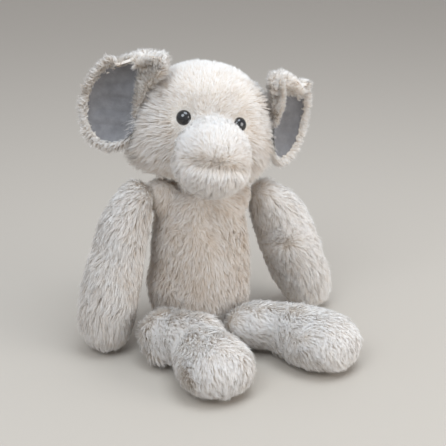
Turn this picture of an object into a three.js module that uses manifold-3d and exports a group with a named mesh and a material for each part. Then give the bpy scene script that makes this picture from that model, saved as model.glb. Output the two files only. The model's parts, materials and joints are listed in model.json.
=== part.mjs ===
// A stuffed elephant that sits: fabric panels, stuffing, safety eyes and floppy limbs.
// Millimetres, +Z up. It faces -Y, and its own right side is at -X. It sits on z = 0.
import * as THREE from 'three';
import { mergeVertices } from 'three/addons/utils/BufferGeometryUtils.js';
import Module from 'manifold-3d';

const wasm = await Module();
wasm.setup();

// Driving dimensions
const GAP = 0.3; // between pieces that lie against each other
const FABRIC = 4; // a pile fabric panel with its pile laid flat
const FIT = 0.4; // between a panel and the stuffing behind it
const ROOM = 1.2; // round a piece that turns in another
const FAR = 400; // past the whole toy

const TORSO = { depth: 0.92, seatSeam: 9, top: 143 };
const NECK = { x: -5, z: 149, ball: 19, stub: 17, length: 21 };
const HEAD = { depth: 0.86, yaw: -14, roll: 10, gusset: 16, chin: 30, face: -38 };
const TRUNK = { z: 34, drop: 0.0008, seam: -3 };
const EYE = {
  right: 24.5, left: 21.8, z: 55, radius: 6.2, dome: 4.6, stem: 2, length: 15, washer: 7, tilt: 26,
};
const EAR = {
  x: 46, y: 4, width: 32, height: 42, reach: 27, back: 3.2, lining: 1.6,
  liningShare: 0.8, cup: 14, curl: 10, turn: 25,
};
const ARM = { ball: 13, depth: 0.94, back: 2 };
const LEG = { ball: 15, foot: 0.28, foldUp: 45, foldDown: 80 };
const HEM = { thick: 1.2, gap: 0.5, angle: 24 };
const TAIL = { y: 41, z: 40, ball: 4, slope: 28 };
const POUCH = { top: 20 };
const LABEL = { x: 24, y: 33, z: 24, width: 14, height: 18, thick: 0.8 };

// Profiles, as [radius, height] from the lowest point to the highest
const TORSO_PROFILE = [
  [0, -7], [18, -5], [31, 1], [39, 13], [42, 32], [42.5, 60], [41, 92], [37.5, 115],
  [31, 130], [20, 139.5], [9, 142.4], [0, TORSO.top],
];
const NECK_PROFILE = [
  [0, -NECK.length], [13, -NECK.length], [NECK.stub, -17], [NECK.stub, -9], [NECK.ball, 0],
  [16.5, 9.5], [9.5, 16.5], [0, NECK.ball],
];
const HEAD_PROFILE = [
  [0, -2], [18, -1.5], [36, 3], [49, 13], [54, 27], [53.5, 40], [50.5, 53], [46.5, 66],
  [41, 78], [32, 88], [18, 95.5], [0, 97.5],
];
const TRUNK_PROFILE = [
  [0, -86], [11, -84], [20.5, -78], [26.5, -68], [28, -58], [26.5, -47], [21, -36], [16, -24],
  [0, -16],
];
const ARM_PROFILE = [
  [0, -136], [10, -134], [18, -127], [22.5, -112], [23.5, -95], [23, -70], [21, -44],
  [17, -22], [12.2, -9.5], [12.6, -3], [12.3, 4], [9.2, 9.2], [0, ARM.ball],
];
const LEG_PROFILE = [
  [0, -104], [11, -102], [19, -95], [23, -82], [23.5, -68], [22.5, -52], [20.5, -36],
  [17, -22], [13.6, -11], [14.3, -4], [14.2, 4], [10.6, 10.6], [0, LEG.ball],
];
const TAIL_PROFILE = [
  [0, -36], [3.6, -33], [4.6, -27], [3, -20], [2.6, -9], [3.6, -2], [2.8, 2.8], [0, TAIL.ball],
];

// Fabrics and plastics
const CREAM = { color: 0xe2dbd2, roughness: 0.95, metalness: 0 };
const GREY = { color: 0x8f8c93, roughness: 0.9, metalness: 0 };
const FILL = { color: 0xf2f2ee, roughness: 1, metalness: 0 };
const BLACK = { color: 0x08080a, roughness: 0.08, metalness: 0 };
const WASHER = { color: 0xe8e8e4, roughness: 0.45, metalness: 0 };
const LABEL_CLOTH = { color: 0xf4f4f2, roughness: 0.8, metalness: 0 };

const rad = THREE.MathUtils.degToRad;
const step = THREE.MathUtils.smoothstep;

// A closed geometry as a solid.
function solid(geometry) {
  geometry.deleteAttribute('normal');
  geometry.deleteAttribute('uv');
  const merged = mergeVertices(geometry, 1e-4);
  const index = [];
  for (let i = 0; i < merged.index.count; i += 3) {
    const [a, b, c] = [0, 1, 2].map((k) => merged.index.getX(i + k));
    if (a !== b && b !== c && c !== a) index.push(a, b, c);
  }
  const vertProperties = new Float32Array(merged.attributes.position.array);
  const triVerts = new Uint32Array(index);
  return new wasm.Manifold(new wasm.Mesh({ numProp: 3, vertProperties, triVerts }));
}

// Each point of a geometry, moved by a function of x, y and z.
function reshape(geometry, move) {
  const at = geometry.attributes.position;
  for (let i = 0; i < at.count; i++) {
    at.setXYZ(i, ...move(at.getX(i), at.getY(i), at.getZ(i)));
  }
  return geometry;
}

// A profile turned about the z axis, with its surface moved in by `inset`.
function turned(profile, inset, around, along) {
  const curve = new THREE.SplineCurve(profile.map(([r, z]) => new THREE.Vector2(r, z)));
  const points = [new THREE.Vector2(0, profile[0][1] + inset)];
  for (let i = 1; i < along; i++) {
    const at = curve.getPointAt(i / along);
    const way = curve.getTangentAt(i / along);
    points.push(new THREE.Vector2(Math.max(at.x - inset * way.y, 0.5), at.y + inset * way.x));
  }
  points.push(new THREE.Vector2(0, profile.at(-1)[1] - inset));
  return new THREE.LatheGeometry(points, around).rotateX(Math.PI / 2);
}

function ball(radius, around = 16) {
  return solid(new THREE.SphereGeometry(radius, around, around / 2));
}

// The box from one corner to the other.
function box([x0, y0, z0], [x1, y1, z1]) {
  const geometry = new THREE.BoxGeometry(x1 - x0, y1 - y0, z1 - z0);
  return solid(geometry.translate((x0 + x1) / 2, (y0 + y1) / 2, (z0 + z1) / 2));
}

// A rod along z from `low` to `high`.
function rod(radius, low, high, around = 12) {
  const geometry = new THREE.CylinderGeometry(radius, radius, high - low, around);
  return solid(geometry.rotateX(Math.PI / 2).translate(0, 0, (low + high) / 2));
}

// Where a group that is moved and turned puts its contents.
function matrixOf(position, rotation = [0, 0, 0], order = 'XYZ') {
  const group = new THREE.Group();
  group.position.set(...position);
  group.rotation.set(...rotation.map(rad), order);
  group.updateMatrix();
  return group.matrix;
}

const moved = (shape, matrix) => shape.transform(matrix.elements);
const inverse = (matrix) => matrix.clone().invert();

function piece(name, shape, look) {
  const { vertProperties, triVerts } = shape.getMesh();
  const geometry = new THREE.BufferGeometry();
  geometry.setAttribute('position', new THREE.BufferAttribute(vertProperties, 3));
  geometry.setIndex(new THREE.BufferAttribute(triVerts, 1));
  geometry.computeVertexNormals();
  const mesh = new THREE.Mesh(geometry, new THREE.MeshStandardMaterial(look));
  mesh.name = name;
  return mesh;
}

// A group with its own frame.
function groupAt(matrix, ...pieces) {
  const group = new THREE.Group();
  matrix.decompose(group.position, group.quaternion, group.scale);
  if (pieces.length) group.add(...pieces);
  return group;
}

// Half spaces, as boxes that stop half a gap from the plane
const below = (z) => box([-FAR, -FAR, -FAR], [FAR, FAR, z - GAP / 2]);
const above = (z) => box([-FAR, -FAR, z + GAP / 2], [FAR, FAR, FAR]);
const rightOf = (x) => box([-FAR, -FAR, -FAR], [x - GAP / 2, FAR, FAR]);
const leftOf = (x) => box([x + GAP / 2, -FAR, -FAR], [FAR, FAR, FAR]);
const inFront = (y) => box([-FAR, -FAR, -FAR], [FAR, y - GAP / 2, FAR]);
const behind = (y) => box([-FAR, y + GAP / 2, -FAR], [FAR, FAR, FAR]);
const between = (x) => box([-x + GAP / 2, -FAR, -FAR], [x - GAP / 2, FAR, FAR]);

// Frames of the parts that turn
const headFrame = matrixOf([NECK.x, 0, NECK.z], [0, HEAD.roll, HEAD.yaw], 'ZYX');
const sides = [
  {
    side: -1, end: 'right', shoulder: [-59, 0, 133], lean: 14, hip: [-34, -30, 22.5], splay: 2,
    splayIn: 0, splayOut: 40,     earHeight: 50, earSweep: 22, earLean: 14,
  },
  {
    side: 1, end: 'left', shoulder: [60, 0, 123], lean: 27, hip: [31, -38, 22.5], splay: 25,
    splayIn: 20, splayOut: 18,     earHeight: 55, earSweep: 40, earLean: 5,
  },
];
const armFrame = ({ side, shoulder, lean }) =>
  matrixOf(shoulder, [ARM.back, -side * lean, 0], 'YXZ');
const legFrame = ({ side, hip, splay }, fold = 0, spread = 0) =>
  matrixOf(hip, [fold - 90, 0, side * (splay + spread)], 'ZYX');
const tailFrame = matrixOf([0, TAIL.y, TAIL.z], [TAIL.slope, 0, 0]);

// Outer forms, each with its surface moved in by `inset`
function torsoForm(inset) {
  const geometry = turned(TORSO_PROFILE, inset, 20, 11);
  return solid(reshape(geometry, (x, y, z) => [x, y * TORSO.depth, z]));
}

function trunkForm(inset) {
  const geometry = turned(TRUNK_PROFILE, inset, 16, 9).rotateX(-Math.PI / 2);
  return solid(reshape(geometry, (x, y, z) => [x, y, z + TRUNK.z - TRUNK.drop * y * y]));
}

function headForm(inset) {
  const geometry = turned(HEAD_PROFILE, inset, 20, 11);
  const skull = solid(reshape(geometry, (x, y, z) => [x, y * HEAD.depth, z]));
  return skull.add(trunkForm(inset));
}

function armForm(inset) {
  const geometry = turned(ARM_PROFILE, inset, 12, 10);
  return solid(reshape(geometry, (x, y, z) => [x, y * ARM.depth, z]));
}

function legForm(inset) {
  const geometry = turned(LEG_PROFILE, inset, 12, 10);
  const widen = (z) => 1 + LEG.foot * step(-z, 30, 85);
  return solid(reshape(geometry, (x, y, z) => [x * widen(z), y, z]));
}

// A cup of unstuffed hem round a limb's ball, open away from `way`.
function hemCup(radius, way) {
  const inner = radius + HEM.gap;
  const outer = inner + HEM.thick;
  const profile = [];
  for (const [r, turn] of [[inner, 1], [outer, -1]]) {
    for (let i = 0; i <= 2; i++) {
      const angle = rad(HEM.angle) * (turn > 0 ? i / 2 : 1 - i / 2);
      profile.push(new THREE.Vector2(r * Math.sin(angle), r * Math.cos(angle)));
    }
  }
  const geometry = new THREE.LatheGeometry([...profile, profile[0]], 10);
  const turn = new THREE.Quaternion().setFromUnitVectors(new THREE.Vector3(0, 1, 0), way);
  return solid(geometry.applyQuaternion(turn));
}

const socket = (radius) => ball(radius + HEM.gap + HEM.thick + HEM.gap);

// Everything that the torso gives way to
function torsoRoom() {
  const neck = solid(turned(NECK_PROFILE, -ROOM, 16, 9)).translate(NECK.x, 0, NECK.z);
  let room = neck.add(ball(TAIL.ball + ROOM, 12).translate(0, TAIL.y, TAIL.z));
  for (const part of sides) {
    room = room.add(socket(ARM.ball).translate(...part.shoulder));
    room = room.add(socket(LEG.ball).translate(...part.hip));
    const { foldUp, foldDown } = LEG;
    const poses = [[-foldUp, 0], [-foldUp / 2, 0], [foldDown / 2, 0], [foldDown, 0]];
    poses.push([-foldUp, -part.splayIn], [foldDown, part.splayOut]);
    for (const [fold, spread] of poses) {
      room = room.add(moved(legForm(-ROOM), legFrame(part, fold, spread)));
    }
  }
  return room;
}

function torso() {
  const room = torsoRoom();
  const outer = torsoForm(0).intersect(above(-GAP / 2));
  const inner = torsoForm(FABRIC).intersect(above(FABRIC));
  const skin = outer.subtract(inner).subtract(room);
  const walls = skin.intersect(above(TORSO.seatSeam));
  const filling = torsoForm(FABRIC + FIT).intersect(above(FABRIC + FIT)).subtract(room);
  const label = box([0, 0, 0], [LABEL.width, LABEL.thick, LABEL.height]);
  return [
    piece('torso_front_right', walls.intersect(rightOf(0)).intersect(inFront(0)), CREAM),
    piece('torso_front_left', walls.intersect(leftOf(0)).intersect(inFront(0)), CREAM),
    piece('torso_back_right', walls.intersect(rightOf(0)).intersect(behind(0)), CREAM),
    piece('torso_back_left', walls.intersect(leftOf(0)).intersect(behind(0)), CREAM),
    piece('seat_panel', skin.intersect(below(TORSO.seatSeam)), CREAM),
    piece('torso_stuffing', filling.intersect(above(POUCH.top)), FILL),
    piece('pellet_pouch', filling.intersect(below(POUCH.top)), FILL),
    groupAt(
      matrixOf([LABEL.x, LABEL.y, LABEL.z], [0, 0, -28]),
      piece('care_label', label, LABEL_CLOTH),
    ),
  ];
}

function neck() {
  return groupAt(
    matrixOf([NECK.x, 0, NECK.z]),
    piece('neck_stuffing', solid(turned(NECK_PROFILE, 0, 16, 9)), FILL),
  );
}

// The eye's button, with its stem along -z and its dome towards +z.
function eyeButton() {
  const { radius, dome, stem, length } = EYE;
  const points = [[0, -length], [stem, -length], [stem, 0], [radius - 0.8, 0], [radius, 0.8]];
  for (let i = 1; i <= 3; i++) {
    const angle = (i / 3) * (Math.PI / 2);
    points.push([radius * Math.cos(angle), 0.8 + (dome - 0.8) * Math.sin(angle)]);
  }
  points[points.length - 1][0] = 0;
  const profile = points.map(([r, z]) => new THREE.Vector2(r, z));
  return solid(new THREE.LatheGeometry(profile, 12).rotateX(Math.PI / 2));
}

function eyeWasher() {
  const ring = rod(EYE.washer, -9.6, -8.2).subtract(rod(EYE.stem + GAP, -FAR, FAR));
  return ring;
}

// Where an eye sits: on the face, looking out along its own z axis.
function eyeFrame(side) {
  const across = side < 0 ? EYE.right : EYE.left;
  const y = -HEAD.depth * 47 * Math.sqrt(1 - (across / 47) ** 2);
  const out = new THREE.Vector3(side * Math.sin(rad(EYE.tilt)), -Math.cos(rad(EYE.tilt)), 0.3);
  const turn = new THREE.Quaternion().setFromUnitVectors(
    new THREE.Vector3(0, 0, 1), out.normalize(),
  );
  const at = new THREE.Vector3(side * across, y, EYE.z);
  return new THREE.Matrix4().compose(at, turn, new THREE.Vector3(1, 1, 1));
}

// One layer of an ear, bent: u across it, v up, and w through it towards the front.
function earLayer(share, front, back) {
  const geometry = new THREE.SphereGeometry(1, 18, 8).rotateX(Math.PI / 2);
  return reshape(geometry, (u, v, w) => {
    const across = u * share;
    const up = v * share;
    const through = Math.sqrt(Math.abs(w)) * (w > 0 ? front : back);
    const far = across * across + up * up;
    const fold = EAR.curl * step(up, 0.35, 1) ** 2;
    return [across * EAR.width, -EAR.cup * far - fold + through, up * EAR.height];
  });
}

function earFrame({ side, earHeight, earSweep, earLean }) {
  return matrixOf([side * EAR.x, EAR.y, earHeight], [0, -side * earLean, side * earSweep], 'ZYX');
}

// One ear's layer, in the head's frame, kept off the head over its whole turn.
function earPiece(part, layer) {
  const frame = earFrame(part);
  let ear = moved(layer.translate(EAR.reach * part.side, 0, 0), frame);
  const head = headForm(-ROOM);
  for (const angle of [-EAR.turn, 0, EAR.turn]) {
    const swing = frame.clone().multiply(matrixOf([0, 0, 0], [0, 0, angle]));
    swing.multiply(inverse(frame));
    ear = ear.subtract(moved(head, inverse(swing)));
  }
  const parts = ear.decompose();
  parts.sort((a, b) => b.volume() - a.volume());
  return parts[0];
}

function ear(part) {
  const { back, lining, liningShare, width } = EAR;
  const inset = (x, y, z) => [x, y - lining, z];
  const cloth = solid(reshape(earLayer(liningShare, -lining, 0), inset));
  const bedShare = liningShare + GAP / width;
  const bed = solid(reshape(earLayer(bedShare, -lining - GAP, GAP), inset));
  const fur = solid(earLayer(1, -lining, back)).subtract(bed);
  return [
    piece(`ear_fur_${part.end}`, earPiece(part, fur), CREAM),
    piece(`ear_lining_${part.end}`, earPiece(part, cloth), GREY),
  ];
}

function head() {
  const pocket = ball(NECK.ball + ROOM, 20);
  let skin = headForm(0).subtract(headForm(FABRIC)).subtract(pocket);
  let filling = headForm(FABRIC + FIT).subtract(pocket);
  const eyes = [];
  for (const { side, end } of sides) {
    const frame = eyeFrame(side);
    const seat = moved(rod(EYE.radius + FIT, -0.6, 12), frame);
    const hole = moved(rod(EYE.stem + GAP, -EYE.length - FIT, 1), frame);
    const room = moved(rod(EYE.washer + FIT, -10, -7.8), frame);
    skin = skin.subtract(hole).subtract(seat).subtract(room);
    filling = filling.subtract(hole).subtract(room);
    eyes.push(groupAt(
      frame,
      piece(`eye_${end}`, eyeButton(), BLACK),
      piece(`eye_washer_${end}`, eyeWasher(), WASHER),
    ));
  }
  const trunkRoom = trunkForm(-1 - GAP).intersect(inFront(HEAD.face + GAP));
  const trunk = skin.intersect(trunkForm(-1)).intersect(inFront(HEAD.face));
  const rest = skin.subtract(trunkRoom);
  const middle = rest.intersect(between(HEAD.gusset));
  const chin = middle.intersect(below(HEAD.chin)).intersect(inFront(0));
  const gusset = middle.intersect(above(HEAD.chin).add(behind(0)));
  const seam = TRUNK.z + TRUNK.seam;
  return groupAt(
    headFrame,
    piece('head_side_right', rest.intersect(rightOf(-HEAD.gusset)), CREAM),
    piece('head_side_left', rest.intersect(leftOf(HEAD.gusset)), CREAM),
    piece('head_gusset', gusset, CREAM),
    piece('chin', chin, CREAM),
    piece('trunk_top', trunk.intersect(above(seam)), CREAM),
    piece('trunk_under', trunk.intersect(below(seam)), CREAM),
    piece('head_stuffing', filling, FILL),
    ...eyes,
    ...sides.flatMap(ear),
  );
}

// A limb: two panels that meet at side seams, its stuffing and its hem.
function limb(form, radius, frame, names, into) {
  const floor = moved(above(0), inverse(frame));
  const skin = form(0).intersect(floor).subtract(form(FABRIC));
  const way = into.clone().transformDirection(inverse(frame));
  return groupAt(
    frame,
    piece(names.front, skin.intersect(inFront(0)), CREAM),
    piece(names.back, skin.intersect(behind(0)), CREAM),
    piece(names.filling, form(FABRIC + FIT), FILL),
    piece(names.hem, hemCup(radius, way), CREAM),
  );
}

function arm(part) {
  const { side, end } = part;
  const names = {
    front: `arm_front_${end}`, back: `arm_back_${end}`,
    filling: `arm_stuffing_${end}`, hem: `arm_hem_${end}`,
  };
  return limb(armForm, ARM.ball, armFrame(part), names, new THREE.Vector3(-side, 0, 0));
}

function leg(part) {
  const { end } = part;
  const names = {
    front: `leg_top_${end}`, back: `leg_sole_${end}`,
    filling: `leg_stuffing_${end}`, hem: `leg_hem_${end}`,
  };
  return limb(legForm, LEG.ball, legFrame(part), names, new THREE.Vector3(0, 1, 0));
}

function tail() {
  return groupAt(tailFrame, piece('tail', solid(turned(TAIL_PROFILE, 0, 8, 8)), CREAM));
}

const elephant = new THREE.Group();
elephant.add(...torso(), neck(), head(), ...sides.map(arm), ...sides.map(leg), tail());

export default elephant;
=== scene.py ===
# A stuffed elephant: padded skins, a pile of real strands, lined ears and glossy eyes, round the
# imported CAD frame. The toy's lengths are in millimetres here and become metres when a mesh is
# written; the lights and the camera are in metres. The toy faces -Y, its own right side is at -X,
# and it sits on z = 0.
import json
import math
import bpy
import bmesh
import numpy as np
from mathutils import Euler, Matrix, Vector
from mathutils.bvhtree import BVHTree
from mathutils.kdtree import KDTree

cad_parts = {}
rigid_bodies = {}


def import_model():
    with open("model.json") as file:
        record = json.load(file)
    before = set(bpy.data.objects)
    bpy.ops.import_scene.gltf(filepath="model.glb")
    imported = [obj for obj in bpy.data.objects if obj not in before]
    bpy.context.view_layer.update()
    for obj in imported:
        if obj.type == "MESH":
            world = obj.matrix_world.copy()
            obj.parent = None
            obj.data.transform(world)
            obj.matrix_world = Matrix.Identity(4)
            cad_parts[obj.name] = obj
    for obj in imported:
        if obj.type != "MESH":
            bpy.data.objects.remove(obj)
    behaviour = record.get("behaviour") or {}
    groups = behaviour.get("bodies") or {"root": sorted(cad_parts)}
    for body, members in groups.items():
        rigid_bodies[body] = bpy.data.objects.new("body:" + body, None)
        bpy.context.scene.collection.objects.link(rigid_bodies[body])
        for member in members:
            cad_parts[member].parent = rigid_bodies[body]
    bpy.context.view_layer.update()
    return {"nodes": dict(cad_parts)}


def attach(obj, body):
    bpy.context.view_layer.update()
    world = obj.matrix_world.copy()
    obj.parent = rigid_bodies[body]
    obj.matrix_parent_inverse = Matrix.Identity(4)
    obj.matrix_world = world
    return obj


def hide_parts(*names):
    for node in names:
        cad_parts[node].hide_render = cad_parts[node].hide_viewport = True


for start_up in list(bpy.data.objects):
    bpy.data.objects.remove(start_up, do_unlink=True)
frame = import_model()
NODES = frame["nodes"]

MM = 0.001
UP = np.array([0.0, 0.0, 1.0])
FLOOR_GAP = 0.3  # how far a padded skin stays above the floor
PILE_GAP = 0.4  # how far a strand stays above the floor

# The same driving places as the CAD, in millimetres and degrees
HEAD_AT, HEAD_TURN = (-5, 0, 149), (0, 10, -14)
SKULL_RADIUS, SKULL_DEPTH = 47, 0.86
TRUNK_LEVEL, TRUNK_SEAM = 34, -3
EYE_X, EYE_Z, EYE_TILT, EYE_RADIUS, EYE_DOME = {-1: 24.5, 1: 21.8}, 55, 26, 6.2, 4.6
EAR_X, EAR_Y, EAR_WIDTH, EAR_HEIGHT, EAR_REACH, LINING_SHARE = 46, 4, 32, 42, 27, 0.8
SIDES = {
    "right": dict(side=-1, shoulder=(-59, 0, 133), lean=14, hip=(-34, -30, 22.5), splay=2,
                  ear=(50, 22, 14)),
    "left": dict(side=1, shoulder=(60, 0, 123), lean=27, hip=(31, -38, 22.5), splay=25,
                 ear=(55, 40, 5)),
}
ARM_LENGTH, ARM_BACK = 125, 0.035
FLAP_RANGE = 25


# ---------------------------------------------------------------- small maths
def placed(at, turn=(0, 0, 0)):
    """A 4 by 4 placement: turned about X, then Y, then Z, and moved to a place."""
    angles = Euler([math.radians(a) for a in turn], "XYZ")
    return np.array(Matrix.Translation(at) @ angles.to_matrix().to_4x4())


def out_of(matrix, points):
    """Points from a placement's own axes to the toy's."""
    return points @ matrix[:3, :3].T + matrix[:3, 3]


def into(matrix, points):
    """Points from the toy's axes to a placement's own."""
    return (points - matrix[:3, 3]) @ matrix[:3, :3]


def unit(v):
    return v / np.maximum(np.linalg.norm(v, axis=-1, keepdims=True), 1e-9)


def fade(x, low, high):
    """0 at low, 1 at high, smooth between; low may be above high."""
    t = np.clip((x - low) / (high - low), 0, 1)
    return t * t * (3 - 2 * t)


def waves(points, size, seed):
    """Smooth noise from -1 to 1, three values a point, with features of about that size."""
    rng = np.random.default_rng(seed)
    total = np.zeros((len(points), 3))
    for octave, weight in ((1, 0.5), (1.7, 0.3), (2.9, 0.2)):
        way = unit(rng.normal(size=(6, 3))) * (2 * math.pi / size * octave)
        phase = rng.uniform(0, 2 * math.pi, (6, 3))
        for k in range(6):
            total += weight / 2.2 * np.sin((points @ way[k])[:, None] + phase[k])
    return total


HEAD = placed(HEAD_AT, HEAD_TURN)


def eye_frame(side):
    y = -SKULL_DEPTH * SKULL_RADIUS * math.sqrt(1 - (EYE_X[side] / SKULL_RADIUS) ** 2)
    tilt = math.radians(EYE_TILT)
    out = Vector((side * math.sin(tilt), -math.cos(tilt), 0.3)).normalized()
    turn = Vector((0, 0, 1)).rotation_difference(out).to_matrix().to_4x4()
    return HEAD @ np.array(Matrix.Translation((side * EYE_X[side], y, EYE_Z)) @ turn)


def ear_frame(part):
    height, sweep, lean = part["ear"]
    side = part["side"]
    return HEAD @ placed((side * EAR_X, EAR_Y, height), (0, -side * lean, side * sweep))


def arm_line(part):
    """Where an arm starts, and the way it hangs."""
    lean = math.radians(part["lean"])
    down = np.array([part["side"] * math.sin(lean), ARM_BACK, -math.cos(lean)])
    return np.array(part["shoulder"], float), down


# ---------------------------------------------------------------- meshes
def coordinates(mesh):
    flat = np.empty(len(mesh.vertices) * 3)
    mesh.vertices.foreach_get("co", flat)
    return flat.reshape(-1, 3) / MM


def set_coordinates(mesh, points):
    mesh.vertices.foreach_set("co", (points * MM).ravel())
    mesh.update()


def normals(mesh):
    flat = np.empty(len(mesh.vertices) * 3)
    mesh.vertex_normals.foreach_get("vector", flat)
    return flat.reshape(-1, 3)


def tree_of(obj):
    return BVHTree.FromPolygons([tuple(p) for p in coordinates(obj.data)],
                                [tuple(p.vertices) for p in obj.data.polygons])


def linked(name, mesh):
    obj = bpy.data.objects.new(name, mesh)
    bpy.context.scene.collection.objects.link(obj)
    return obj


def joined_copy(name, nodes, lumps=()):
    """One new object with the meshes of those CAD nodes, and rounded lumps as (place, radii)."""
    bm = bmesh.new()
    for node in nodes:
        bm.from_mesh(NODES[node].data)
    for place, radii in lumps:
        shape = Matrix.Translation([x * MM for x in place]) @ Matrix.Diagonal(
            [r * MM for r in radii] + [1])
        bmesh.ops.create_icosphere(bm, subdivisions=4, radius=1, matrix=shape)
    mesh = bpy.data.meshes.new(name)
    bm.to_mesh(mesh)
    bm.free()
    return linked(name, mesh)


def applied(obj, kind, **settings):
    """The object with one modifier of that kind applied to its mesh."""
    modifier = obj.modifiers.new(kind.lower(), kind)
    for key, value in settings.items():
        setattr(modifier, key, value)
    bake_modifiers(obj)


def bake_modifiers(obj):
    graph = bpy.context.evaluated_depsgraph_get()
    mesh = bpy.data.meshes.new_from_object(obj.evaluated_get(graph))
    obj.modifiers.clear()
    old, obj.data = obj.data, mesh
    mesh.name = obj.name
    bpy.data.meshes.remove(old)


def largest_part(mesh):
    """Keeps only the outer shell, and drops the shells of the hollows inside."""
    bm = bmesh.new()
    bm.from_mesh(mesh)
    left, parts = set(bm.verts), []
    while left:
        part, edge = set(), [left.pop()]
        while edge:
            vert = edge.pop()
            part.add(vert)
            for line in vert.link_edges:
                other = line.other_vert(vert)
                if other in left:
                    left.remove(other)
                    edge.append(other)
        parts.append(part)
    parts.sort(key=len)
    for part in parts[:-1]:
        bmesh.ops.delete(bm, geom=list(part), context="VERTS")
    bm.to_mesh(mesh)
    bm.free()


CLOTH_STEPS = 20


def plumped(obj, shrink=1.2, cap=3.0, pressure=4.0):
    """Swells the skin as cloth under pressure from a slightly smaller start, never past the cap."""
    mesh = obj.data
    start = coordinates(mesh) - normals(mesh) * shrink
    set_coordinates(mesh, start)
    cloth = obj.modifiers.new("cloth", "CLOTH")
    cloth.settings.use_pressure = True
    cloth.settings.uniform_pressure_force = pressure
    cloth.settings.effector_weights.gravity = 0
    cloth.settings.quality = 4
    scene = bpy.context.scene
    for step in range(1, CLOTH_STEPS + 1):
        scene.frame_set(step)
    bake_modifiers(obj)
    scene.frame_set(1)
    moved = coordinates(obj.data) - start
    length = np.linalg.norm(moved, axis=1, keepdims=True)
    set_coordinates(obj.data, start + moved * np.minimum(1, cap / np.maximum(length, 1e-6)))


def skin(name, nodes, body, voxel=4.0, cloth=True, fill=0.6, after=None, lumps=(), soften=3):
    """The padded skin that stands for a body's panels and its stuffing."""
    obj = joined_copy(name, nodes, lumps)
    applied(obj, "REMESH", mode="VOXEL", voxel_size=voxel * MM)
    largest_part(obj.data)
    applied(obj, "SMOOTH", factor=0.5, iterations=soften)
    if cloth:
        plumped(obj)
    applied(obj, "SUBSURF", levels=1)
    if after:
        after(obj.data)
    points = coordinates(obj.data)
    low = points[:, 2] < FLOOR_GAP
    points[low, 2] = FLOOR_GAP
    set_coordinates(obj.data, points)
    obj.data.shade_smooth()
    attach(obj, body)
    return obj


# ---------------------------------------------------------------- materials
def material(name, **values):
    mat = bpy.data.materials.new(name)
    mat.use_nodes = True
    shader = mat.node_tree.nodes["Principled BSDF"]
    for key, value in values.items():
        shader.inputs[key.replace("_", " ")].default_value = value
    return mat, mat.node_tree, shader


def add(tree, kind, **values):
    node = tree.nodes.new(kind)
    for key, value in values.items():
        if key in node.inputs:
            node.inputs[key].default_value = value
        else:
            setattr(node, key, value)
    return node


def ramp(tree, source, stops):
    node = tree.nodes.new("ShaderNodeValToRGB")
    marks = node.color_ramp.elements
    while len(marks) < len(stops):
        marks.new(0.5)
    for mark, (place, colour) in zip(marks, stops):
        mark.position, mark.color = place, (*colour, 1)
    tree.links.new(source, node.inputs[0])
    return node.outputs["Color"]


def noise(tree, size, detail=3.0, rough=0.6):
    """Noise over the object's own coordinates, with features of about that many millimetres."""
    where = add(tree, "ShaderNodeTexCoord")
    node = add(tree, "ShaderNodeTexNoise", Scale=1 / (size * MM), Detail=detail,
               Roughness=rough)
    tree.links.new(where.outputs["Object"], node.inputs["Vector"])
    return node.outputs[0]


def multiplied(tree, one, other, factor=1.0):
    node = add(tree, "ShaderNodeMix", data_type="RGBA", blend_type="MULTIPLY")
    node.inputs[0].default_value = factor
    tree.links.new(one, node.inputs[6])
    tree.links.new(other, node.inputs[7])
    return node.outputs[2]


def cloth_like(name, dark, light, size, nap, depth, **values):
    """A cloth whose colour drifts over it, with a fine nap in its bump."""
    mat, tree, shader = material(name, **values)
    broad = ramp(tree, noise(tree, size), [(0.3, dark), (0.7, light)])
    fine = ramp(tree, noise(tree, nap, 4), [(0.25, (0.8, 0.79, 0.78)), (0.7, (1, 1, 1))])
    tree.links.new(multiplied(tree, broad, fine), shader.inputs["Base Color"])
    bump = add(tree, "ShaderNodeBump", Strength=0.6, Distance=depth * MM)
    tree.links.new(noise(tree, nap, 4), bump.inputs["Height"])
    tree.links.new(bump.outputs[0], shader.inputs["Normal"])
    return mat


SHOWS_THROUGH = 0.3


def pile_material(name, root, middle, tip, light_and_shade_stops):
    """Strand colour from its own two numbers: u is the strand's tone, random with painted light and
    shade, and v runs root to tip.
    """
    mat, tree, shader = material(name, Roughness=0.8, Sheen_Weight=0.15, Specular_IOR_Level=0.25)
    where = add(tree, "ShaderNodeUVMap", uv_map="OFBake")
    split = add(tree, "ShaderNodeSeparateXYZ")
    tree.links.new(where.outputs[0], split.inputs[0])
    # Darker, warmer roots are painted shade deep in the pile, and the cool white tips are partly the
    # pile's own colour and partly painted cool light; the tone ramp below runs from a darker warm
    # cream, painted shade, to white, painted light.
    along = ramp(tree, split.outputs[1], [(0.0, root), (0.35, middle), (1.0, tip)])
    tone_and_painted_light = ramp(tree, split.outputs[0], light_and_shade_stops)
    colour = multiplied(tree, along, tone_and_painted_light)
    through, mix = add(tree, "ShaderNodeBsdfTranslucent"), add(tree, "ShaderNodeMixShader")
    mix.inputs[0].default_value = SHOWS_THROUGH
    tree.links.new(colour, shader.inputs["Base Color"])
    tree.links.new(colour, through.inputs["Color"])
    tree.links.new(shader.outputs[0], mix.inputs[1])
    tree.links.new(through.outputs[0], mix.inputs[2])
    tree.links.new(mix.outputs[0], tree.nodes["Material Output"].inputs["Surface"])
    return mat


# The strand colours: darker, warmer roots as painted shade, cool white tips partly own colour and
# partly painted light, then a tone ramp from painted shade to painted light.
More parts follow.
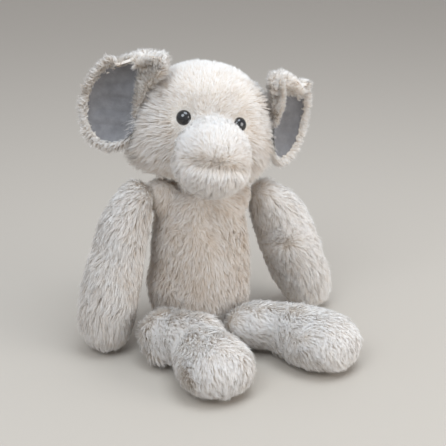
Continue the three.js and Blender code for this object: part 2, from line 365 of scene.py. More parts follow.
PILE = pile_material("cream_pile_fur",
                     (0.70, 0.575, 0.45), (0.91, 0.86, 0.80), (0.95, 0.955, 0.965),
                     [(0.0, (0.82, 0.74, 0.66)), (0.5, (0.97, 0.945, 0.92)), (1.0, (1, 1, 1))])
# The backing's warm cream is darker than the pile's tips, a painted shade deep under the pile like
# the strands' roots, with random tone drifting over it.
BACKING = cloth_like("cream_pile_backing", (0.84, 0.775, 0.70), (0.92, 0.87, 0.81), 14, 0.9, 0.5,
                     Roughness=0.95, Specular_IOR_Level=0.15)
VELOUR = cloth_like("grey_velour_nap", (0.185, 0.182, 0.190), (0.255, 0.252, 0.262), 9, 0.5, 0.25,
                    Roughness=0.9, Sheen_Weight=0.35, Specular_IOR_Level=0.15)
HEM = cloth_like("hem_weave", (0.55, 0.48, 0.40), (0.66, 0.60, 0.52), 6, 0.4, 0.2, Roughness=0.9)
BAG = cloth_like("pellet_bag_weave", (0.5, 0.47, 0.41), (0.6, 0.57, 0.5), 4, 0.3, 0.2,
                 Roughness=0.85)
LABEL = cloth_like("label_satin", (0.82, 0.82, 0.8), (0.9, 0.9, 0.88), 5, 0.25, 0.08,
                   Roughness=0.5)
WASHER = cloth_like("washer_plastic", (0.7, 0.7, 0.68), (0.76, 0.76, 0.74), 8, 0.6, 0.03,
                    Roughness=0.4)


def eye_material():
    mat, tree, shader = material("eye_black_gloss", Roughness=0.04, Specular_IOR_Level=0.6,
                                 Coat_Weight=0.5, Coat_Roughness=0.02)
    tone = ramp(tree, noise(tree, 4), [(0.3, (0.004, 0.004, 0.005)), (0.7, (0.009, 0.008, 0.008))])
    tree.links.new(tone, shader.inputs["Base Color"])
    return mat


EYE_BLACK = eye_material()


# ---------------------------------------------------------------- the pile
class Roots:
    """Where strands start: places, normals and any values carried by the skin's vertices."""

    def __init__(self, mesh, count, rng, weight, carried):
        mesh.calc_loop_triangles()
        corners = np.empty(len(mesh.loop_triangles) * 3, dtype=np.int64)
        mesh.loop_triangles.foreach_get("vertices", corners)
        corners = corners.reshape(-1, 3)
        points, skin_normals = coordinates(mesh), normals(mesh)
        a, b, c = (points[corners[:, k]] for k in range(3))
        area = np.linalg.norm(np.cross(b - a, c - a), axis=1)
        area = area * weight[corners].mean(axis=1)
        reach = np.cumsum(area)
        place = (np.arange(count) + rng.random(count)) / count * reach[-1]
        picked = corners[np.minimum(np.searchsorted(reach, place), len(corners) - 1)]
        share = rng.random((count, 2))
        flip = share.sum(axis=1) > 1
        share[flip] = 1 - share[flip]
        share = np.column_stack([1 - share.sum(axis=1), share])

        def blend(values):
            return np.einsum("nk,nk...->n...", share, values[picked])

        self.p, self.n = blend(points), unit(blend(skin_normals))
        self.carried = {key: blend(value) for key, value in carried.items()}


OFF_SKIN, LEAST_ROOM, MUCH_ROOM = 0.6, 0.8, 99.0


def open_weight(mesh, neighbours, own_reach, reach=14):
    """For each vertex of a skin: 1 where it is open and 0 where not, and how far the next body is."""
    points, out = coordinates(mesh), normals(mesh)
    own = BVHTree.FromPolygons([tuple(p) for p in points],
                               [tuple(p.vertices) for p in mesh.polygons])
    is_open, room = np.ones(len(points)), np.full(len(points), MUCH_ROOM)
    for k, (p, n) in enumerate(zip(points, out)):
        start = Vector(p + n * OFF_SKIN)
        if own.ray_cast(start, Vector(n), own_reach)[0] is not None:
            is_open[k] = 0
            continue
        for tree in neighbours:
            near, facing, _, distance = tree.find_nearest(Vector(p), reach)
            if near is None:
                continue
            if (Vector(p) - near).dot(facing) < 0:
                distance = -distance
            room[k] = min(room[k], distance)
    is_open[room < LEAST_ROOM] = 0
    return is_open, room


# Where a strand's cross-sections are along it, and how wide each is
STEPS = np.array([0.0, 0.36, 0.7, 1.0])
TAPER = np.array([0.85, 1.0, 0.7, 0.0])
# A root's depth under its skin, how much of its distance to the guide a strand keeps, and its sag
ROOT_SUNK, GATHERED, SAG = 0.8, 0.35, 0.12
# The share of the room up to the next body that a strand may take, and the least length then
ROOM_USED, SHORTEST = 0.85, 2.0
# Strands that point down below this height lose up to this share of their length
NEAR_FLOOR, FLOOR_SHORTENED = 14, 0.65


def locks(points, clump, rng):
    """Strands picked as guides, one in clump, and the number of the guide nearest to each strand."""
    guides = rng.choice(len(points), max(len(points) // clump, 2), replace=False)
    finder = KDTree(len(guides))
    for k, g in enumerate(guides):
        finder.insert(points[g], k)
    finder.balance()
    return guides, np.array([finder.find(q)[1] for q in points])


def ribbon_corners(rows, n, width, rng):
    """Each strand's seven corners and their shading normals, from the points along its middle."""
    count = len(n)
    heading = unit(np.gradient(rows, axis=0))
    tilt = rng.normal(size=(count, 1)) * 0.55
    across = unit(np.cross(heading, n[None]))
    over = unit(np.cross(across, heading))
    across = across * np.cos(tilt) + over * np.sin(tilt)
    face = unit(np.cross(across, heading))
    size = width * (0.75 + 0.5 * rng.random((count, 1)))

    left = rows - across * (size * TAPER[:, None, None] / 2)
    right = rows + across * (size * TAPER[:, None, None] / 2)
    verts = np.empty((count, 7, 3))
    verts[:, 0:6:2] = np.moveaxis(left[:3], 0, 1)
    verts[:, 1:6:2] = np.moveaxis(right[:3], 0, 1)
    verts[:, 6] = rows[3]
    soft = unit(n[None] * 0.75 + face * 0.45 + heading * 0.15)
    shading = np.empty((count, 7, 3))
    shading[:, 0:6:2] = np.moveaxis(soft[:3], 0, 1)
    shading[:, 1:6:2] = shading[:, 0:6:2]
    shading[:, 6] = soft[3]
    return verts, shading


def grow(name, skin_obj, body, style, count, clump, seed, width=0.62, wave=0.5, pull=0.7,
         painted_light_level=0.6, weight=None, carried=None):
    """Real strands over a skin. style(roots) gives length, flow, and lift at root and tip.

    Strands are gathered in locks, are shorter where another body or the floor is near, and sag.
    """
    rng = np.random.default_rng(seed)
    mesh = skin_obj.data
    is_open, room = ROOM[skin_obj.name]
    weight = is_open if weight is None else weight * is_open
    roots = Roots(mesh, count, rng, weight, dict(carried or {}, room=room))
    if "turned" in roots.carried:
        roots.n = roots.n * np.where(roots.carried["turned"] < 0, -1, 1)[:, None]
    length, flow, rise, fall = style(roots)
    p, n = roots.p, roots.n

    guides, nearest = locks(p, clump, rng)
    guide = guides[nearest]

    stray = waves(p, 16, seed + 1) * 0.3 + rng.normal(size=p.shape) * 0.12
    stray = stray + rng.normal(size=(len(guides), 3))[nearest] * 0.15
    along = flow + stray
    along = unit(along - n * np.sum(along * n, axis=1, keepdims=True))
    length = length * (0.86 + 0.28 * rng.random(count)) * (
        1 + 0.08 * rng.normal(size=len(guides))[nearest])
    by_floor = fade(p[:, 2], NEAR_FLOOR, 2) * fade(-n[:, 2], 0.1, 0.6)
    length = length * (1 - FLOOR_SHORTENED * by_floor)
    space = np.maximum(roots.carried["room"] * ROOM_USED, SHORTEST)
    length = np.minimum(length, space)[:, None]
    rise = np.clip(rise + rng.normal(size=count) * 0.08, 0.05, 1)[:, None]
    fall = np.clip(fall + rng.normal(size=count) * 0.08, -0.1, 1)[:, None]
    first = unit(n * rise + along * (1 - rise))
    last = unit(n * fall + along * (1 - np.abs(fall)) - UP * SAG)

    def spine(t):
        return p - n * ROOT_SUNK + length * (first * (t - t * t / 2) + last * (t * t / 2))

    side = unit(np.cross(along, n))
    phase, bend = rng.random((2, count, 1))
    rows = []
    for t in STEPS:
        row = spine(t)
        to_guide = row[guide] + (p - p[guide]) * GATHERED * (1 - 0.5 * t)
        row = row + (to_guide - row) * (pull * t ** 1.4)
        row = row + side * wave * t * np.sin(2 * math.pi * (phase + t * (0.6 + 0.5 * bend)))
        rows.append(row)
    rows = np.array(rows)
    rows[:, :, 2] = np.maximum(rows[:, :, 2], PILE_GAP)
    verts, shading = ribbon_corners(rows, n, width, rng)

    # Tone: the part's level is painted light or shade, faces turned up get painted light and those
    # turned down painted shade, and the rest is random tone per lock, per strand and in broad waves.
    tone_and_painted_light = painted_light_level + 0.16 * n[:, 2] + 0.14 * rng.normal(size=len(guides))[nearest]
    tone_and_painted_light += 0.1 * rng.normal(size=count) + 0.12 * waves(p, 40, seed + 2)[:, 0]
    tone_and_painted_light = np.clip(tone_and_painted_light, 0.02, 0.98)
    mesh = ribbon_mesh(name, verts, shading, tone_and_painted_light)
    mesh.materials.append(PILE)
    obj = linked(name, mesh)
    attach(obj, body)
    return obj


def ribbon_mesh(name, verts, shading, tone_and_painted_light):
    """One mesh of all strands: two quads and a tip each, with tone and height as its UVs; the tone
    holds random variation and painted light and shade.
    """
    count = len(verts)
    base = np.arange(count)[:, None] * 7
    loops = (base + np.array([0, 1, 3, 2, 2, 3, 5, 4, 4, 5, 6])).ravel()
    totals = np.tile([4, 4, 3], count)
    starts = np.concatenate([[0], np.cumsum(totals)[:-1]])
    mesh = bpy.data.meshes.new(name)
    mesh.vertices.add(count * 7)
    mesh.vertices.foreach_set("co", (verts * MM).ravel())
    mesh.loops.add(len(loops))
    mesh.loops.foreach_set("vertex_index", loops)
    mesh.polygons.add(len(totals))
    mesh.polygons.foreach_set("loop_start", starts)
    mesh.polygons.foreach_set("loop_total", totals)
    mesh.update(calc_edges=True)
    layer = mesh.uv_layers.new(name="OFBake")
    t = np.array([STEPS[0], STEPS[0], STEPS[1], STEPS[1], STEPS[2], STEPS[2], STEPS[3]])
    lean = np.array([-1, 1, -1, 1, -1, 1, 0]) * 0.004
    u = (tone_and_painted_light[:, None] + lean).ravel()
    v = np.tile(t * 0.98 + 0.01, count)
    layer.data.foreach_set("uv", np.column_stack([u[loops], v[loops]]).ravel())
    mesh.shade_smooth()
    mesh.normals_split_custom_set_from_vertices(shading.reshape(-1, 3))
    return mesh


# ---------------------------------------------------------------- skins
# The trunk is wider and higher than its turned form, and the crown is lower above a level
TRUNK_WIDER, TRUNK_SHIFT, TRUNK_RAISED = 0.07, 1.8, 0.08
CROWN_FROM, CROWN_LOWERED = 74, 0.86
GROOVE_WIDTH, GROOVE_DEPTH = 4.0, 2.6


def shaped_head(mesh):
    """Shapes the trunk and the crown, and presses a soft groove across the trunk's front."""
    points = coordinates(mesh)
    q = into(HEAD, points)
    on_trunk = fade(-q[:, 1], 40, 56)
    q[:, 0] = q[:, 0] * (1 + TRUNK_WIDER * on_trunk) - TRUNK_SHIFT * on_trunk
    q[:, 2] += TRUNK_RAISED * on_trunk * np.maximum(q[:, 2] - TRUNK_LEVEL, 0)
    lowered = CROWN_FROM + (q[:, 2] - CROWN_FROM) * CROWN_LOWERED
    q[:, 2] = np.where(q[:, 2] > CROWN_FROM, lowered, q[:, 2])
    points = out_of(HEAD, q)
    set_coordinates(mesh, points)
    depth = fade(-q[:, 1], 52, 66) * fade(np.abs(q[:, 0]), 28, 18)
    groove = np.exp(-((q[:, 2] - TRUNK_LEVEL - TRUNK_SEAM) / GROOVE_WIDTH) ** 2)
    groove = groove * depth * GROOVE_DEPTH
    set_coordinates(mesh, points - normals(mesh) * groove[:, None])


# Rounded lumps as (place, radii), and the radii of the one beside each shoulder
COLLAR = ((HEAD_AT[0] + 2, 2, 131), (23, 20, 12))
BELLY = ((-4, 0, 50), (42, 38, 46))
SHOULDER_RADII, SHOULDER_IN = (15, 12, 15), 25


def torso_lumps():
    """Fills the torso out towards each arm, under the head and at the belly."""
    lumps = []
    for part in SIDES.values():
        x, y, z = part["shoulder"]
        lumps.append(((x - part["side"] * SHOULDER_IN, y + 3, z + 1), SHOULDER_RADII))
    return lumps + [COLLAR, BELLY]


HEAD_NODES = ["head_side_right", "head_side_left", "head_gusset", "chin", "trunk_top",
              "trunk_under", "head_stuffing"]
TORSO_NODES = ["torso_front_right", "torso_front_left", "torso_back_right", "torso_back_left",
               "seat_panel", "torso_stuffing"]
SKINS = {}


def add_skin(name, nodes, body, **settings):
    SKINS[name] = skin(name, nodes, body, **settings)
    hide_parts(*nodes)
    SKINS[name].data.materials.clear()
    SKINS[name].data.materials.append(BACKING)


# Lumps as (place, radii) for a thigh, and as (distance down the arm, outwards, radius) for an arm
THIGHS = {
    "right": [((-52, -38, 26), (20, 16, 19)), ((-43, -54, 27), (21, 18, 20)),
              ((-34, -66, 28), (21, 22, 20)), ((-38, -86, 27), (21, 20, 19)),
              ((-62, -48, 13), (9, 9, 9))],
    "left": [((19, -53, 25), (20, 12, 16)), ((30, -58, 24), (20, 18, 18))],
}
UPPER_ARM = {
    "right": [(-3, -2, 13), (8, 1, 16), (20, 2.5, 18), (32, 1, 19.5)],
    "left": [(4, 0, 13), (11, 3, 15), (21, 4, 19.5), (34, 4, 23), (50, 3, 24.5), (68, 2, 25),
             (86, 0, 24.5)],
}
ARM_BOW = {"right": 3.5, "left": 0}


def bent(end, part):
    """A function that bends the middle of an arm outwards."""
    shoulder, down = arm_line(part)

    def bend(mesh):
        points = coordinates(mesh)
        along = np.clip((points - shoulder) @ down / ARM_LENGTH, 0, 1)
        points[:, 0] += part["side"] * ARM_BOW[end] * np.sin(np.pi * along)
        set_coordinates(mesh, points)
    return bend


add_skin("head_padding", HEAD_NODES, "head", after=shaped_head)
add_skin("torso_padding", TORSO_NODES, "torso", fill=0.5, lumps=torso_lumps(), soften=7)
add_skin("neck_padding", ["neck_stuffing"], "neck", cloth=False)
add_skin("tail_padding", ["tail"], "tail", voxel=1.6, cloth=False, fill=0.8)
for end, part in SIDES.items():
    shoulder, down = arm_line(part)
    lumps = [(shoulder + down * far + np.array([part["side"] * out, 0, 0]), (r, r, r))
             for far, out, r in UPPER_ARM[end]]
    add_skin("arm_padding_" + end, [f"arm_front_{end}", f"arm_back_{end}", f"arm_stuffing_{end}"],
             "arm_" + end, fill=0.55, lumps=lumps, soften=6, after=bent(end, part))
    add_skin("leg_padding_" + end, [f"leg_top_{end}", f"leg_sole_{end}", f"leg_stuffing_{end}"],
             "leg_" + end, fill=0.55, lumps=THIGHS[end], soften=9)


# ---------------------------------------------------------------- ears
# How each ear's top is folded. At each station across the ear, start is the height where the fold
# begins and grown is how much taller the ear is made; slope and above set the line that the folded
# pile ends on, in shares of the ear's half width and half height.
CURL = {
    "right": dict(start=(38, 49, 41, 28), radius=12, turn=80, grown=(1.5, 1.75, 1.2, 0.92),
                  shift=6, slope=1.8, above=0.82),
    "left": dict(start=(36, 37, 35, 29), radius=12, turn=85, grown=(1.75, 1.6, 1.34, 1.08),
                 shift=14, slope=0.75, above=0.33),
}
STATIONS = [2, 9, EAR_REACH, 40]
FLAP_THICK, FLAP_EDGE, TOP_BEND = 6.0, 0.2, 10
EXTRA_CUP = 6.0  # how much deeper the ear is cupped than its flat form
EAR_NARROWED = 0.88
HEAD_ROOM = 2.0  # the gap that an ear keeps to the head's skin
LINING_SPREAD = 1.16  # how much wider the lining is than the CAD one
LINING_EDGE = 1.0  # how far inside the lining's edge the pile stops
LINING_REACH, LINING_RIM = 9, 0.88  # how far in front it is looked for, and how far out
CUT_ABOVE, COVER_ABOVE = 0.08, 0.1  # the cut, and the pile's limit, past the folded pile's line


def curled(q, curl, side):
    """Folds the top of an ear forwards and down, most of all beside the head, in its own axes."""
    across = np.clip(q[:, 0] * side, -5, 2 * EAR_REACH)
    grow_by = np.interp(across, STATIONS, curl["grown"])
    start = np.interp(across, STATIONS, curl["start"])
    up = q[:, 2] * np.where(q[:, 2] > 0, 1 + (grow_by - 1) * fade(q[:, 2], 4, 24), 1)
    radius, most = curl["radius"], math.radians(curl["turn"])
    beyond = np.maximum(up - start, 0)
    angle = np.minimum(beyond / radius, most)
    rest = beyond - angle * radius
    bend = fade(q[:, 2], 0.35 * EAR_HEIGHT, EAR_HEIGHT) ** 2 * TOP_BEND
    depth = q[:, 1] + bend * (beyond > 0)
    inwards = curl["shift"] * fade(up, start * 0.5, start + 10) * fade(across, 40, 8)
    x = (q[:, 0] - side * inwards) * EAR_NARROWED
    y = np.where(beyond > 0, depth * np.cos(angle) - radius * (1 - np.cos(angle))
                 - rest * np.sin(angle), q[:, 1] + bend)
    z = np.where(beyond > 0, start + radius * np.sin(angle) + rest * np.cos(angle)
                 + depth * np.sin(angle), up)
    return np.column_stack([x, y, z]), angle


def turned_over(before, after, angle):
    """-1 where the fold has turned an ear's surface over, 1 elsewhere, from its normals."""
    cos, sin = np.cos(angle), np.sin(angle)
    expected = np.column_stack([before[:, 0], before[:, 1] * cos - before[:, 2] * sin,
                                before[:, 1] * sin + before[:, 2] * cos])
    return np.where(np.sum(expected * after, axis=1) < 0, -1.0, 1.0)


def kept_off(points, tree, room, place):
    """Pushes an ear's points out of the head's skin, at rest and at both ends of its turn."""
    for angle in (0, -FLAP_RANGE, FLAP_RANGE, 0):
        turn = place @ placed((0, 0, 0), (0, 0, angle)) @ np.linalg.inv(place)
        points = out_of(turn, points)
        for k, p in enumerate(points):
            near, facing, _, _ = tree.find_nearest(Vector(p), 25)
            if near is None:
                continue
            gap = (Vector(p) - near).dot(facing)
            if gap < room:
                points[k] += np.array(facing) * (room - gap)
        points = out_of(np.linalg.inv(turn), points)
    return points


def flap(outward, up, curl):
    """1 where the folded top of an ear shows its pile in front, 0 where the lining shows."""
    return fade(up - curl["slope"] * outward, curl["above"], curl["above"] + FLAP_EDGE)


def cut_lining(mesh, place, side, curl):
    """Ends the lining under the folded top, on a straight line across the ear."""
    across, up = curl["slope"] * side / EAR_WIDTH, 1 / EAR_HEIGHT
    way = unit(np.array([-across, 0, up]))
    at = np.array([side * EAR_REACH, 0, (curl["above"] + CUT_ABOVE) * EAR_HEIGHT])
    bm = bmesh.new()
    bm.from_mesh(mesh)
    cut = bmesh.ops.bisect_plane(
        bm, geom=list(bm.verts) + list(bm.edges) + list(bm.faces), clear_outer=True,
        plane_co=Vector(out_of(place, at[None])[0] * MM), plane_no=Vector(place[:3, :3] @ way))
    rim = [e for e in cut["geom_cut"] if isinstance(e, bmesh.types.BMEdge)]
    filled = bmesh.ops.holes_fill(bm, edges=rim, sides=0)
    bmesh.ops.triangulate(bm, faces=filled["faces"])
    bm.to_mesh(mesh)
    bm.free()


def behind_lining(pad, sheet, outward, up, facing, curl):
    """1 for each of an ear's points that the lining covers, but not for those near its edge."""
    cloth, points, out = tree_of(sheet), coordinates(pad.data), normals(pad.data)
    middle = coordinates(sheet.data).mean(axis=0)
    hidden = np.zeros(len(points))
    below = up - curl["slope"] * outward < curl["above"] + COVER_ABOVE
    for k in np.nonzero((facing > -0.2) & below & (np.hypot(outward, up) < LINING_RIM))[0]:
        further = points[k] + unit(points[k] - middle) * LINING_EDGE
        hidden[k] = all(
            cloth.ray_cast(Vector(p + out[k] * LINING_REACH), Vector(-out[k]), LINING_REACH)[0]
            is not None for p in (points[k], further))
    return hidden


def lining_folds(across, up):
    """How far the lining stands forward: a raised inner side behind a valley, and soft folds."""
    inner = fade(across, -0.15 + 0.12 * np.sin(up * 3.5), -0.6)
    raised = 4.5 * inner * fade(up, -0.85, -0.5) * fade(up, 0.8, 0.4)
    folds = 1.5 * np.maximum(np.sin(up * 13 + across * 3), 0) * fade(across, 0.7, 0.2)
    lifted = 1.5 * fade(np.hypot(across, up), 0.6, 0.78)
    return raised + folds * (1 - inner) + 0.4 + lifted


def ear_pieces(end, part):
    """An ear's padded back and its lining, both cupped and curled, and where their points were."""
    side, place = part["side"], ear_frame(part)
    fur_node, lining_node = "ear_fur_" + end, "ear_lining_" + end
    head_tree = tree_of(SKINS["head_padding"])
    pad = joined_copy("ear_padding_" + end, [fur_node])
    applied(pad, "REMESH", mode="VOXEL", voxel_size=1.5 * MM)
    largest_part(pad.data)
    applied(pad, "SMOOTH", factor=0.5, iterations=3)
    sheet = joined_copy("ear_cloth_" + end, [lining_node])
    applied(sheet, "REMESH", mode="VOXEL", voxel_size=0.75 * MM)
    largest_part(sheet.data)
    applied(sheet, "SMOOTH", factor=0.5, iterations=4)
    cut_lining(sheet.data, place, side, CURL[end])
    flat = {}
    for obj in (pad, sheet):
        q = into(place, coordinates(obj.data))
        across = (q[:, 0] - side * EAR_REACH) / EAR_WIDTH
        before = normals(obj.data) @ place[:3, :3]
        facing = -before[:, 1]
        up = q[:, 2] / EAR_HEIGHT
        outward = across * side
        spread = LINING_SPREAD if obj is sheet else 1
        q[:, 1] -= EXTRA_CUP * np.minimum((outward ** 2 + up ** 2) * spread ** 2, 1.1)
        if obj is sheet:
            q[:, 0] = side * EAR_REACH + (q[:, 0] - side * EAR_REACH) * LINING_SPREAD
            q[:, 2] *= LINING_SPREAD
            q[:, 1] -= lining_folds(outward, up)
        else:
            q[:, 1] -= FLAP_THICK * flap(outward, up, CURL[end]) * fade(facing, 0, 0.5)
        q, angle = curled(q, CURL[end], side)
        set_coordinates(obj.data, kept_off(out_of(place, q), head_tree, HEAD_ROOM, place))
        turned = turned_over(before, normals(obj.data) @ place[:3, :3], angle)
        flat[obj.name] = np.column_stack([across, up, facing, turned])
        obj.data.shade_smooth()
        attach(obj, "ear_" + end)
        obj.data.materials.clear()
    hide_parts(fur_node)
    pad.data.materials.append(BACKING)
    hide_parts(lining_node)
    sheet.data.materials.append(VELOUR)
    SKINS[pad.name] = pad
    return pad, sheet, flat


EARS = {end: ear_pieces(end, part) for end, part in SIDES.items()}


# ---------------------------------------------------------------- eyes
EYE_TURNS, EYE_STEM, EYE_LENGTH = 48, 2, 11
DOME_STEPS, DOME_STEP = 14, 6.2


def eye(end, part):
    """A domed safety eye with a thin rim and its stem, turned as one smooth closed body."""
    turns = EYE_TURNS
    profile = [(0, EYE_DOME)]
    for k in range(1, DOME_STEPS + 1):
        a = math.radians(90 - DOME_STEP * k)
        profile.append((EYE_RADIUS * math.cos(a), EYE_DOME * math.sin(a)))
    profile += [(EYE_RADIUS, 0), (EYE_RADIUS * 0.97, -0.7), (EYE_RADIUS * 0.9, -1.0),
                (EYE_STEM, -1.0), (EYE_STEM, 0.6 - EYE_LENGTH), (EYE_STEM - 0.6, -EYE_LENGTH),
                (0, -EYE_LENGTH)]
    bm = bmesh.new()
    rings = []
    for radius, height in profile:
        if radius == 0:
            rings.append([bm.verts.new((0, 0, height * MM))])
            continue
        rings.append([bm.verts.new((radius * math.cos(2 * math.pi * k / turns) * MM,
                                    radius * math.sin(2 * math.pi * k / turns) * MM,
                                    height * MM)) for k in range(turns)])
    for above, below in zip(rings, rings[1:]):
        for k in range(turns):
            around = [above[k % len(above)], below[k % len(below)],
                      below[(k + 1) % len(below)], above[(k + 1) % len(above)]]
            around = list(dict.fromkeys(around))
            bm.faces.new(around)
    bmesh.ops.recalc_face_normals(bm, faces=bm.faces)
    place = eye_frame(part["side"]).copy()
    place[:3, 3] *= MM
    bm.transform(Matrix(place))
    mesh = bpy.data.meshes.new("eye_dome_" + end)
    bm.to_mesh(mesh)
    bm.free()
    mesh.materials.append(EYE_BLACK)
    mesh.shade_smooth()
    obj = linked("eye_dome_" + end, mesh)
    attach(obj, "head")
    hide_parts("eye_" + end)


for end, part in SIDES.items():
    eye(end, part)


# ---------------------------------------------------------------- fur on each part
NEIGHBOURS = {
    "head_padding": ["torso_padding"],
    "torso_padding": ["head_padding", "arm_padding_right", "arm_padding_left",
                      "leg_padding_right", "leg_padding_left", "tail_padding"],
    "neck_padding": ["head_padding", "torso_padding"],
    "tail_padding": ["torso_padding"],
    "ear_padding_right": [], "ear_padding_left": [],
}
for end in SIDES:
    NEIGHBOURS["arm_padding_" + end] = ["torso_padding", "leg_padding_" + end]
    NEIGHBOURS["leg_padding_" + end] = ["torso_padding", "arm_padding_" + end,
                                        "leg_padding_" + ("left" if end == "right" else "right")]
TREES = {name: tree_of(obj) for name, obj in SKINS.items()}
SELF_REACH, USUAL_REACH = {"ear": 1.5, "head": 5}, 10
ROOM = {name: open_weight(obj.data, [TREES[other] for other in NEIGHBOURS[name]],
                          SELF_REACH.get(name.split("_")[0], USUAL_REACH))
        for name, obj in SKINS.items()}
EYES = [eye_frame(part["side"])[:3, 3] for part in SIDES.values()]


def near_eyes(p, length, flow):
    """Shorter strands round the eyes, turned away from them."""
    for centre in EYES:
        away = p - centre
        distance = np.linalg.norm(away, axis=1)
        length = length * (0.45 + 0.55 * fade(distance, 7, 15))
        length = np.where(distance < 6.5, 0.4, length)
        flow = flow + unit(away) * (2.0 * fade(distance, 13, 7))[:, None]
    return length, flow


FACE_MIDDLE = np.array([0, -46, 52])
SKULL_PILE, CHEEK_EXTRA, EAR_EXTRA, CROWN_LESS = 7.6, 7.5, 6, 1.2


def skull_style(roots):
    """Away from the middle of the face, longest on the cheeks and beside the ears."""
    q = into(HEAD, roots.p)
    u, v, w = q.T
    away = unit(q - FACE_MIDDLE)
    low, wide = fade(w, 52, 30), fade(np.abs(u), 22, 42)
    flow = away * 1.0 + np.column_stack([np.sign(u) * 0.35 * wide, 0.15 + 0 * u, -0.75 * low])
    by_ear = fade(np.abs(u), 30, 42) * fade(v, -28, -8) * fade(w, 102, 88)
    flow = flow + np.column_stack([np.sign(u) * 0.9 * by_ear, -0.3 * by_ear, 0 * u])
    length = SKULL_PILE + CHEEK_EXTRA * low * wide - CROWN_LESS * fade(w, 66, 84)
    length = length + EAR_EXTRA * by_ear
    flow = flow + waves(roots.p, 22, 50) * 0.5
    length = length * (0.55 + 0.45 * fade(-v, 46, 36))
    flow = flow @ HEAD[:3, :3].T
    length, flow = near_eyes(roots.p, length, flow)
    return length, flow, 0.88 - 0.15 * low, 0.5 - 0.3 * low


TRUNK_PILE, CHIN_EXTRA = 7.0, 4.5


def trunk_style(roots):
    """Up and over above the trunk's seam, down below it, and short round the eyes."""
    q = into(HEAD, roots.p)
    u, _, w = q.T
    above = fade(w, TRUNK_LEVEL + TRUNK_SEAM - 1, TRUNK_LEVEL + TRUNK_SEAM + 3)[:, None]
    over = np.column_stack([u / 24, 0.15 + 0 * u, 0.35 + (w - TRUNK_LEVEL) / 30])
    under = np.column_stack([u / 26, -0.2 + 0 * u, -1.0 + 0 * u])
    flow = (over * above + under * (1 - above)) @ HEAD[:3, :3].T
    length = TRUNK_PILE + CHIN_EXTRA * (1 - above[:, 0])
    for centre in EYES:
        distance = np.linalg.norm(roots.p - centre, axis=1)
        length = length * (0.4 + 0.6 * fade(distance, 6, 12)) * (distance > 6.3)
    return length, flow, 0.55 + 0.15 * above[:, 0], 0.1 + 0.2 * above[:, 0]


TORSO_PILE = 9.5


def torso_style(roots):
    """Down, in loose swirls, and outwards below the shoulders."""
    p = roots.p
    swirl = waves(p, 60, 77)
    outwards = np.sign(p[:, 0]) * 0.8 * fade(p[:, 2], 100, 132) * fade(np.abs(p[:, 0]), 4, 20)
    flow = np.column_stack([0.5 * swirl[:, 0] + outwards, 0.2 * swirl[:, 1],
                            -1 + 0.9 * swirl[:, 2]])
    return TORSO_PILE + 0 * p[:, 0], flow, 0.66 + 0 * p[:, 0], 0.16 + 0 * p[:, 0]


def plain_style(size):
    """Straight down, all of one length."""
    def style(roots):
        zero = 0 * roots.p[:, 0]
        return size + zero, np.tile([0, 0, -1.0], (len(zero), 1)), 0.7 + zero, 0.3 + zero
    return style


ARM_PILE, PAW_LESS, SHOULDER_LESS = 13.5, 3.5, 2
WHORL_DOWN = 52


def arm_style(part):
    """Down the arm, from a whorl on the left one, and shorter on its inner side."""
    side = part["side"]
    shoulder, down = arm_line(part)
    whorl = shoulder + down * WHORL_DOWN + np.array([-side * 6, -20, 0])

    def style(roots):
        p = roots.p
        flow = np.tile(down, (len(p), 1)) + waves(p, 42, 5 + side) * 0.45
        far = np.linalg.norm(p - whorl, axis=1)
        if side > 0:
            flow = flow * fade(far, 4, 26)[:, None]
            flow = flow + unit(p - whorl) * fade(far, 30, 6)[:, None]
        tip = fade((p - shoulder) @ down, 105, 130)
        top = fade((p - shoulder) @ down, 34, -8)
        outwards = np.array([side * 0.7, 0, -0.5])
        flow = flow * (1 - 0.6 * top[:, None]) + outwards * top[:, None]
        length = ARM_PILE - PAW_LESS * tip - SHOULDER_LESS * top
        length = length * (1 - 0.5 * fade(-side * roots.n[:, 0], 0.2, 0.8) * (1 - top))
        parting = fade(far, 16, 3) * (side > 0)
        return length, flow, 0.62 + 0.1 * top + 0.3 * parting, 0.12 + 0.1 * top + 0.3 * parting
    return style


LEG_PILE, THIGH_EXTRA = 9.2, 1.5


def leg_style(part):
    """Along the leg, and down over its sole."""
    angle = math.radians(part["splay"] * part["side"])
    ahead = np.array([math.sin(angle), -math.cos(angle), 0])
    hip = np.array(part["hip"], float)

    def style(roots):
        p = roots.p
        flow = np.tile(ahead, (len(p), 1)) + waves(p, 34, 9 + part["side"]) * 0.6 - UP * 0.25
        sole = fade((p - hip) @ ahead, 84, 100)
        flow = flow - UP * sole[:, None]
        length = LEG_PILE + THIGH_EXTRA * fade((p - hip) @ ahead, 90, 50)
        return length, flow, 0.64 + 0 * sole, 0.17 + 0 * sole
    return style


EAR_PILE, RIM_EXTRA = 7.0, 1.6


def ear_style(part):
    """Outwards from the ear's root, and longer on the rim of the right one."""
    place = ear_frame(part)

    def style(roots):
        p = roots.p
        base = out_of(place, np.array([[part["side"] * 6.0, 0, -4.0]]))[0]
        rho = np.hypot(*roots.carried["flat"].T)
        flow = unit(p - base)
        rim = fade(rho, 0.7, 1.0)
        length = EAR_PILE + RIM_EXTRA * rim * (part["side"] < 0)
        front = roots.carried["front"]
        return length * (1 - 0.15 * front), flow, 0.7 + 0.15 * front, 0.3 + 0.15 * front
    return style


def head_weights():
    """The shares of the head's skin that carry the skull's pile and the trunk's."""
    q = into(HEAD, coordinates(SKINS["head_padding"].data))
    trunk = fade(-q[:, 1], 41, 45) * (np.abs(q[:, 0]) < 36)
    return 1 - trunk, trunk


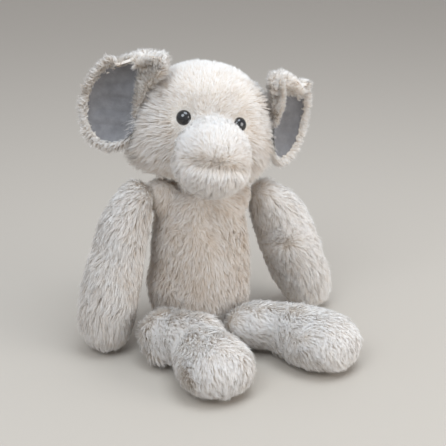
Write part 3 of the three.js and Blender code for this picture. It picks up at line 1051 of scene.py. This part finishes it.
skull_share, trunk_share = head_weights()
# Each part's level on the tone ramp is painted light and shade: the torso low for a warmer, darker
# painted shade, the legs, ears and left arm high for painted light on them, and the head lowered
# against its bright crown.
grow("head_fur", SKINS["head_padding"], "head", skull_style, 39900, 8, 11, width=0.46,
     painted_light_level=0.5, weight=skull_share, wave=0.4, pull=0.25)
grow("trunk_fur", SKINS["head_padding"], "head", trunk_style, 26000, 8, 12, width=0.4,
     painted_light_level=0.6, weight=trunk_share, wave=0.3, pull=0.25)
grow("torso_fur", SKINS["torso_padding"], "torso", torso_style, 39900, 8, 13, width=0.45,
     pull=0.22, painted_light_level=0.32)
grow("neck_fur", SKINS["neck_padding"], "neck", plain_style(6), 2500, 20, 14)
grow("tail_fur", SKINS["tail_padding"], "tail", plain_style(5), 2500, 14, 15, width=0.45)
for k, (end, part) in enumerate(SIDES.items()):
    grow("arm_fur_" + end, SKINS["arm_padding_" + end], "arm_" + end, arm_style(part), 36000, 10,
         21 + k, width=0.42, wave=0.7, pull=0.35, painted_light_level=0.58 + 0.12 * k)
    grow("leg_fur_" + end, SKINS["leg_padding_" + end], "leg_" + end, leg_style(part), 34000, 8,
         31 + k, width=0.42, wave=0.5, pull=0.24, painted_light_level=0.78)
    pad, sheet, flat = EARS[end]
    across, up, facing, turned = flat[pad.name].T
    rho = np.hypot(across, up)
    front = fade(facing, 0.1, 0.6)
    cover = 1.0 - behind_lining(pad, sheet, across * part["side"], up, facing, CURL[end])
    grow("ear_pile_" + end, pad, "ear_" + end, ear_style(part), 20000, 10, 41 + k, width=0.45,
         painted_light_level=0.68, weight=cover, wave=0.35, pull=0.3,
         carried={"flat": np.column_stack([across, up]), "front": front, "turned": turned})

# ---------------------------------------------------------------- carried-over nodes
CARRIED = {"pellet_pouch": BAG, "care_label": LABEL}
for end in SIDES:
    CARRIED[f"arm_hem_{end}"] = CARRIED[f"leg_hem_{end}"] = HEM
    CARRIED[f"eye_washer_{end}"] = WASHER
for node, mat in CARRIED.items():
    for slot in NODES[node].material_slots:
        slot.material = mat

# ---------------------------------------------------------------- stage, light and camera
MIDDLE = (0, 0, 0.12)  # what the lights and the camera point at, in metres
bpy.ops.mesh.primitive_plane_add(size=24)
floor = bpy.context.object
floor.name = "floor"
floor_mat, _, floor_shader = material("pale_floor", Roughness=0.75)
floor_shader.inputs["Base Color"].default_value = (0.50, 0.455, 0.40, 1)
floor.data.materials.append(floor_mat)


def area_light(name, at, size, power, colour):
    """A round soft light that points at the middle of the toy."""
    light = bpy.data.lights.new(name, "AREA")
    light.shape, light.size, light.energy, light.color = "DISK", size, power, colour
    obj = linked(name, light)
    obj.location = at
    obj.rotation_euler = (Vector(MIDDLE) - Vector(at)).to_track_quat("-Z", "Y").to_euler()


area_light("window", (-0.9, -0.7, 1.3), 0.9, 11, (0.84, 0.92, 1.0))
area_light("ceiling", (0.15, -0.35, 1.6), 1.0, 13, (0.82, 0.91, 1.0))
area_light("fill", (0.9, -1.2, 0.5), 1.0, 10.5, (1.0, 0.99, 0.97))
world = bpy.data.worlds.new("studio")
bpy.context.scene.world = world
world.use_nodes = True
world.node_tree.nodes["Background"].inputs["Color"].default_value = (0.93, 0.95, 0.99, 1)
world.node_tree.nodes["Background"].inputs["Strength"].default_value = 0.6
bpy.context.scene.view_settings.view_transform = "Standard"

AZIMUTH, ELEVATION, DISTANCE, LENS = math.radians(-25), math.radians(19), 0.85, 79.1
AIM_RIGHT, AIM_DOWN = 0.020, 0.0156
target = Vector(MIDDLE)
away = Vector((math.sin(AZIMUTH) * math.cos(ELEVATION), -math.cos(AZIMUTH) * math.cos(ELEVATION),
               math.sin(ELEVATION)))
right = Vector((math.cos(AZIMUTH), math.sin(AZIMUTH), 0))
above = away.cross(right)
camera = linked("camera", bpy.data.cameras.new("camera"))
camera.data.lens, camera.data.sensor_width = LENS, 36
camera.location = target + away * DISTANCE
aim = target + right * AIM_RIGHT - above * AIM_DOWN
camera.rotation_euler = (aim - camera.location).to_track_quat("-Z", "Y").to_euler()
bpy.context.scene.camera = camera
